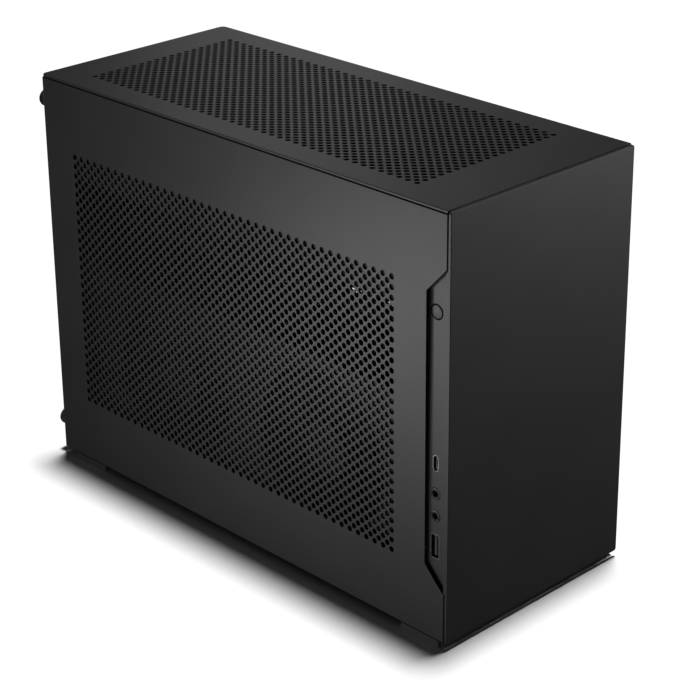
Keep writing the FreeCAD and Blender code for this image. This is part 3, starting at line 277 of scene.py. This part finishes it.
def make_studio():
    """Pale floor, faint surroundings, one overhead light and soft fills on each side of the case."""
    make_floor()
    world = bpy.data.worlds.new("studio")
    world.use_nodes = True
    surroundings = world.node_tree.nodes["Background"]
    surroundings.inputs["Color"].default_value = (1, 1, 1, 1)
    surroundings.inputs["Strength"].default_value = 0.02
    bpy.context.scene.world = world
    bpy.context.scene.view_settings.view_transform = "Standard"
    make_overhead_light()
    receivers = bpy.data.collections.new("lit_pieces")
    for piece in bpy.context.scene.objects:
        if piece.type in {"MESH", "CURVE"} and piece.name != "floor":
            receivers.objects.link(piece)
    near_front = (-0.07, -0.16, 0.15)
    foot_front = (-0.07, -0.16, 0.05)
    lid = (0.0, 0.0, 0.24)
    softbox("side_high_fill", (-0.40, 0.15, 0.08), near_front, 0.2, 0.29, receivers)
    softbox("side_low_fill", (-0.36, 0.11, 0.03), foot_front, 0.12, 0.64, receivers)
    softbox("side_front_fill", (-0.30, -0.10, 0.03), foot_front, 0.1, 0.37, receivers)
    softbox("side_rear_fill", (-0.9, 0.55, 0.15), (-0.07, -0.05, 0.12), 0.5, 1.49, receivers)
    softbox("front_fill", (0.9, -1.0, 0.15), (0.0, -0.16, 0.15), 0.5, 9.73, receivers)
    softbox("lid_fill", (0.36, 0.43, 0.47), lid, 0.2, 0.14, receivers)
    softbox("lid_rear_fill", (0.50, 0.35, 0.47), lid, 0.2, 0.04, receivers)
    softbox("right_fill", (1.1, 0.35, 0.11), (0.07, 0.0, 0.12), 0.2, 6.0, receivers)
    softbox("rear_fill", (0.12, 1.2, 0.11), (0.0, 0.16, 0.12), 0.2, 6.0, receivers)


# ---- perforated panels ---------------------------------------------------------------------
def hole_ring(mesh, centre, radius, place, depth, sides):
    """A ring of vertices round a hole centre; place maps (along, across, depth) to space."""
    u, v = centre
    return [
        mesh.verts.new(place(u + radius * math.cos(t), v + radius * math.sin(t), depth))
        for t in (2 * math.pi * n / sides for n in range(sides))
    ]


def perforated_panel(name, outline, rows, v0, place, thick, flip):
    """A sheet with the hole lattice: each hole has softened rims and a wall, each cell is a rhombus.

    outline is the closed outer line in (along, across), anticlockwise, and place maps (along, across, depth)
    to space, where depth 0 is the outer face. flip turns the faces over where place mirrors the drawing.
    """
    mesh = bmesh.new()
    half_u, half_v = PITCH_ALONG / 2, PITCH_ACROSS / 2
    u0 = cad_low.y + FIELD_START
    corner_cache = {}

    def shared(i, j, depth):
        """The cell corner at half-pitch indices (i, j), made once for each face of the sheet."""
        key = (i, j, depth)
        if key not in corner_cache:
            corner_cache[key] = mesh.verts.new(place(u0 + i * half_u, v0 + j * half_v, depth))
        return corner_cache[key]

    def face(vertices, reverse):
        mesh.faces.new(vertices[::-1] if reverse != flip else vertices)

    quarter = HOLE_SIDES // 4
    for i in range(FIELD_COLUMNS):
        for j in range(i % 2, rows, 2):
            centre = (u0 + i * half_u, v0 + j * half_v)
            rings = [
                hole_ring(mesh, centre, HOLE_R + RIM, place, 0.0, HOLE_SIDES),
                hole_ring(mesh, centre, HOLE_R, place, RIM, HOLE_SIDES),
                hole_ring(mesh, centre, HOLE_R, place, thick - RIM, HOLE_SIDES),
                hole_ring(mesh, centre, HOLE_R + RIM, place, thick, HOLE_SIDES),
            ]
            for outer, inner in zip(rings, rings[1:]):
                for n in range(HOLE_SIDES):
                    m = (n + 1) % HOLE_SIDES
                    face([outer[n], outer[m], inner[m], inner[n]], True)
            for ring, depth, reverse in ((rings[0], 0.0, False), (rings[3], thick, True)):
                tips = [shared(i + 1, j, depth), shared(i, j + 1, depth)]
                tips += [shared(i - 1, j, depth), shared(i, j - 1, depth)]
                for q in range(4):
                    arc = [ring[(q * quarter + n) % HOLE_SIDES] for n in range(quarter + 1)]
                    face([tips[q], tips[(q + 1) % 4]] + arc[::-1], reverse)
    last_i, last_j = FIELD_COLUMNS, rows
    borders = []
    for depth, reverse in ((0.0, False), (thick, True)):
        tip = partial(shared, depth=depth)
        for i in range(0, FIELD_COLUMNS - 1, 2):
            face([tip(i, -1), tip(i + 2, -1), tip(i + 1, 0)], reverse)
            face([tip(i + 2, last_j), tip(i, last_j), tip(i + 1, last_j - 1)], reverse)
        for j in range(0, rows - 1, 2):
            face([tip(-1, j + 2), tip(-1, j), tip(0, j + 1)], reverse)
            face([tip(last_i, j), tip(last_i, j + 2), tip(last_i - 1, j + 1)], reverse)
        face([tip(-1, -1), tip(0, -1), tip(-1, 0)], reverse)
        face([tip(last_i, -1), tip(last_i, 0), tip(last_i - 1, -1)], reverse)
        face([tip(last_i, last_j), tip(last_i - 1, last_j), tip(last_i, last_j - 1)], reverse)
        face([tip(-1, last_j), tip(-1, last_j - 1), tip(0, last_j)], reverse)
        columns = [-1, *range(0, FIELD_COLUMNS, 2), last_i]
        levels = [-1, *range(0, rows, 2), last_j]
        low = [tip(i, -1) for i in columns]
        high = [tip(i, last_j) for i in columns]
        left = [tip(-1, j) for j in levels]
        right = [tip(last_i, j) for j in levels]
        border = [mesh.verts.new(place(u, v, depth)) for u, v in outline]
        borders.append(border)
        c = frame_corners(outline)
        face(border[c[0] : c[1] + 1] + low[::-1], reverse)
        face(border[c[1] : c[2] + 1] + right[::-1], reverse)
        face(border[c[2] : c[3] + 1] + high, reverse)
        face(border[c[3] :] + border[: c[0] + 1] + left, reverse)
    front_border, back_border = borders
    count = len(outline)
    for n in range(count):
        m = (n + 1) % count
        face([front_border[m], front_border[n], back_border[n], back_border[m]], False)
    round_edges(mesh, front_border, back_border)
    made = bpy.data.meshes.new(name)
    mesh.to_mesh(made)
    mesh.free()
    panel = bpy.data.objects.new(name, made)
    bpy.context.scene.collection.objects.link(panel)
    return panel


def frame_corners(outline):
    """Indices of the outline's lowest-left, lowest-right, highest-right and highest-left points."""
    picks = []
    for su, sv in ((-1, -1), (1, -1), (1, 1), (-1, 1)):
        picks.append(max(range(len(outline)), key=lambda n: su * outline[n][0] + sv * outline[n][1]))
    return picks


def round_edges(mesh, front_border, back_border):
    """Rounds the sheet's outer edges, front and back."""
    for border, width in ((front_border, EDGE_ROUND), (back_border, EDGE_ROUND / 2)):
        wanted = set(border)
        picked = [
            e for v in border for e in v.link_edges
            if e.verts[0] in wanted and e.verts[1] in wanted and len(e.link_faces) == 2
        ]
        bmesh.ops.bevel(
            mesh, geom=list(set(picked)), offset=width, segments=3, affect="EDGES", profile=0.5
        )


def rounded_outline(u0, u1, v0, v1, radii, steps=6):
    """An anticlockwise rectangle whose corners have the given radii, from the lowest-left one."""
    centres = (
        (u0, v0, 1, 1, math.pi), (u1, v0, -1, 1, 1.5 * math.pi),
        (u1, v1, -1, -1, 0.0), (u0, v1, 1, -1, 0.5 * math.pi),
    )
    points = []
    for (u, v, su, sv, start), radius in zip(centres, radii):
        count = steps if radius > 0 else 0
        for n in range(count + 1):
            t = start + (math.pi / 2 * n / count if count else 0.0)
            points.append(
                (u + su * radius + radius * math.cos(t), v + sv * radius + radius * math.sin(t))
            )
    return points


# ---- pieces of the port strip ---------------------------------------------------------------
def object_from(name, mesh, smooth_angle):
    """Closes a bmesh into an object whose faces are smooth up to an angle in degrees."""
    bmesh.ops.recalc_face_normals(mesh, faces=mesh.faces)
    made = bpy.data.meshes.new(name)
    mesh.to_mesh(made)
    mesh.free()
    made.shade_smooth()
    made.set_sharp_from_angle(angle=math.radians(smooth_angle))
    piece = bpy.data.objects.new(name, made)
    bpy.context.scene.collection.objects.link(piece)
    return piece


def lathe(name, profile, centre, sides=64):
    """A closed profile of (depth, radius) turned about a line through centre that runs inwards, along +X."""
    mesh = bmesh.new()
    rings = []
    for depth, radius in profile:
        steps = [2 * math.pi * n / sides for n in range(sides)] if radius > 0 else [0.0]
        rings.append([
            mesh.verts.new(centre + Vector((depth, radius * math.cos(t), radius * math.sin(t))))
            for t in steps
        ])
    for near, far in zip(rings, rings[1:] + rings[:1]):
        for n in range(sides):
            corners = [near[n % len(near)], near[(n + 1) % len(near)]]
            corners += [far[(n + 1) % len(far)], far[n % len(far)]]
            corners = list(dict.fromkeys(corners))
            if len(corners) > 2:
                mesh.faces.new(corners)
    return object_from(name, mesh, 35.0)


def stacked(name, centre, loops):
    """A closed skin over rounded rectangles of (across, along, corner radius, depth) about centre."""
    mesh = bmesh.new()
    rings = []
    for across, along, radius, depth in loops:
        line = rounded_outline(-across / 2, across / 2, -along / 2, along / 2, (radius,) * 4, 5)
        rings.append([mesh.verts.new(centre + Vector((depth, y, z))) for y, z in line])
    for near, far in zip(rings, rings[1:]):
        for n in range(len(near)):
            m = (n + 1) % len(near)
            mesh.faces.new([near[n], near[m], far[m], far[n]])
    mesh.faces.new(rings[0])
    mesh.faces.new(rings[-1])
    return object_from(name, mesh, 35.0)


def finish_piece(piece, node, body, slot, finishes):
    """Gives a piece its finish and lets it stand for a CAD node."""
    piece.data.materials.append(finishes[slot])
    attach(piece, body)
    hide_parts(node)


def make_socket(node, radius, wall, pocket, tongue, finishes):
    """A plated socket shell with a rolled lip, and its dark tongue inside."""
    low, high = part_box(node)
    across, along, deep = high.y - low.y, high.z - low.z, high.x - low.x
    centre = Vector((low.x, (low.y + high.y) / 2, (low.z + high.z) / 2))
    roll = 0.12 * MM

    def loop(inset, depth):
        return (across - 2 * inset, along - 2 * inset, radius - inset, depth)

    shell = stacked(f"{node}_shell", centre, [
        loop(0, deep), loop(0, roll), loop(roll, 0),
        loop(wall - roll, 0), loop(wall, roll), loop(wall, pocket),
    ])
    finish_piece(shell, node, "chassis", "port_metal", finishes)
    thick, wide = tongue
    start = 0.8 * MM
    soft = 0.15 * MM
    blade = stacked(f"{node}_tongue", centre, [
        (thick - 2 * soft, wide - 2 * soft, soft, start), (thick, wide, 2 * soft, start + soft),
        (thick, wide, 2 * soft, pocket),
    ])
    finish_piece(blade, node, "chassis", "black_plastic", finishes)


def make_jacks(finishes):
    """Two audio sockets: a raised collar with a groove round its bore, and the housing behind it."""
    low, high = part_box("audio_jacks")
    across = high.y - low.y
    along = 10.0 * MM
    collar = [
        (2.5, 3.45), (-0.1, 3.45), (-0.35, 3.3), (-0.4, 3.05), (-0.3, 2.85), (0.25, 2.75),
        (0.25, 2.6), (-0.2, 2.5), (-0.25, 2.3), (-0.15, 2.05), (0.0, 1.95), (2.5, 1.95),
    ]
    face = 0.1 * MM
    seat = low.x + face + 2.5 * MM
    for level, z in (("lower", low.z + along / 2), ("upper", high.z - along / 2)):
        centre = Vector((low.x + face, (low.y + high.y) / 2, z))
        ring = lathe(f"jack_collar_{level}", [(d * MM, r * MM) for d, r in collar], centre)
        finish_piece(ring, "audio_jacks", "chassis", "black_plastic", finishes)
        deep = high.x - seat
        soft = 0.3 * MM
        housing = stacked(f"jack_housing_{level}", Vector((seat, centre.y, z)), [
            (across - 2 * soft, along - 2 * soft, soft, 0), (across, along, 2 * soft, soft),
            (across, along, 2 * soft, deep),
        ])
        finish_piece(housing, "audio_jacks", "chassis", "black_plastic", finishes)


def make_button(finishes):
    """Power button: a cap with a softened edge, its retaining flange and its stem."""
    low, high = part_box("power_button")
    centre = Vector((low.x, (low.y + high.y) / 2, (low.z + high.z) / 2))
    cap, stem, flange = 3.7 * MM, 1.5 * MM, (high.z - low.z) / 2
    seat = 2.1 * MM
    back = seat + 1.0 * MM
    profile = [
        (0.0, 0.0), (0.0, cap - 0.45 * MM), (0.06 * MM, cap - 0.2 * MM), (0.18 * MM, cap - 0.06 * MM),
        (0.36 * MM, cap), (seat, cap), (seat, flange), (back, flange), (back, stem),
        (high.x - low.x, stem), (high.x - low.x, 0.0),
    ]
    button = lathe("power_button_cap", profile, centre)
    finish_piece(button, "power_button", "button", "panel_aluminium", finishes)


def on_side(x_out, side, u, v, depth):
    """A point of a side panel: u along Y, v up, depth inwards from the outer face at x_out."""
    return Vector((x_out - side * depth, u, v))


def on_lid(z_out, u, v, depth):
    """A point of the lid: u along Y, v along X, depth down from the outer face at z_out."""
    return Vector((v, u, z_out - depth))


def make_panels(finishes):
    """The three perforated sheets."""
    for side, name, body in ((-1, "left", "left_panel"), (1, "right", "right_panel")):
        low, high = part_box(f"{name}_side_panel")
        x_out = low.x if side < 0 else high.x
        outline = [(low.y, low.z), (high.y, low.z), (high.y, high.z), (low.y, high.z)]
        if side < 0:
            strip_low, strip_high = NOTCH
            y_in = low.y + NOTCH_DEPTH
            outline += [
                (low.y, strip_high), (y_in, strip_high - NOTCH_DEPTH),
                (y_in, strip_low + NOTCH_DEPTH), (low.y, strip_low),
            ]
        place = partial(on_side, x_out, side)
        panel = perforated_panel(
            f"{name}_side_sheet", outline, SIDE_ROWS, SIDE_FIELD_BASE, place, high.x - low.x, side < 0
        )
        finish_piece(panel, f"{name}_side_panel", body, "panel_aluminium", finishes)
    low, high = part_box("top_panel")
    radius = 2.0 * MM
    outline = rounded_outline(low.y, high.y, low.x, high.x, (0.0, radius, radius, 0.0))
    place = partial(on_lid, high.z)
    v0 = -(TOP_ROWS - 1) * PITCH_ACROSS / 4
    panel = perforated_panel("top_sheet", outline, TOP_ROWS, v0, place, high.z - low.z, True)
    finish_piece(panel, "top_panel", "lid", "panel_aluminium", finishes)


finishes = make_finishes()
make_camera()
dress_nodes(finishes)
make_panels(finishes)
make_button(finishes)
make_jacks(finishes)
make_socket("usb_c_port", 1.9 * MM, 0.45 * MM, 7.0 * MM, (0.8 * MM, 6.6 * MM), finishes)
make_socket("usb_a_port", 0.7 * MM, 0.5 * MM, 12.0 * MM, (1.8 * MM, 11.0 * MM), finishes)
make_studio()
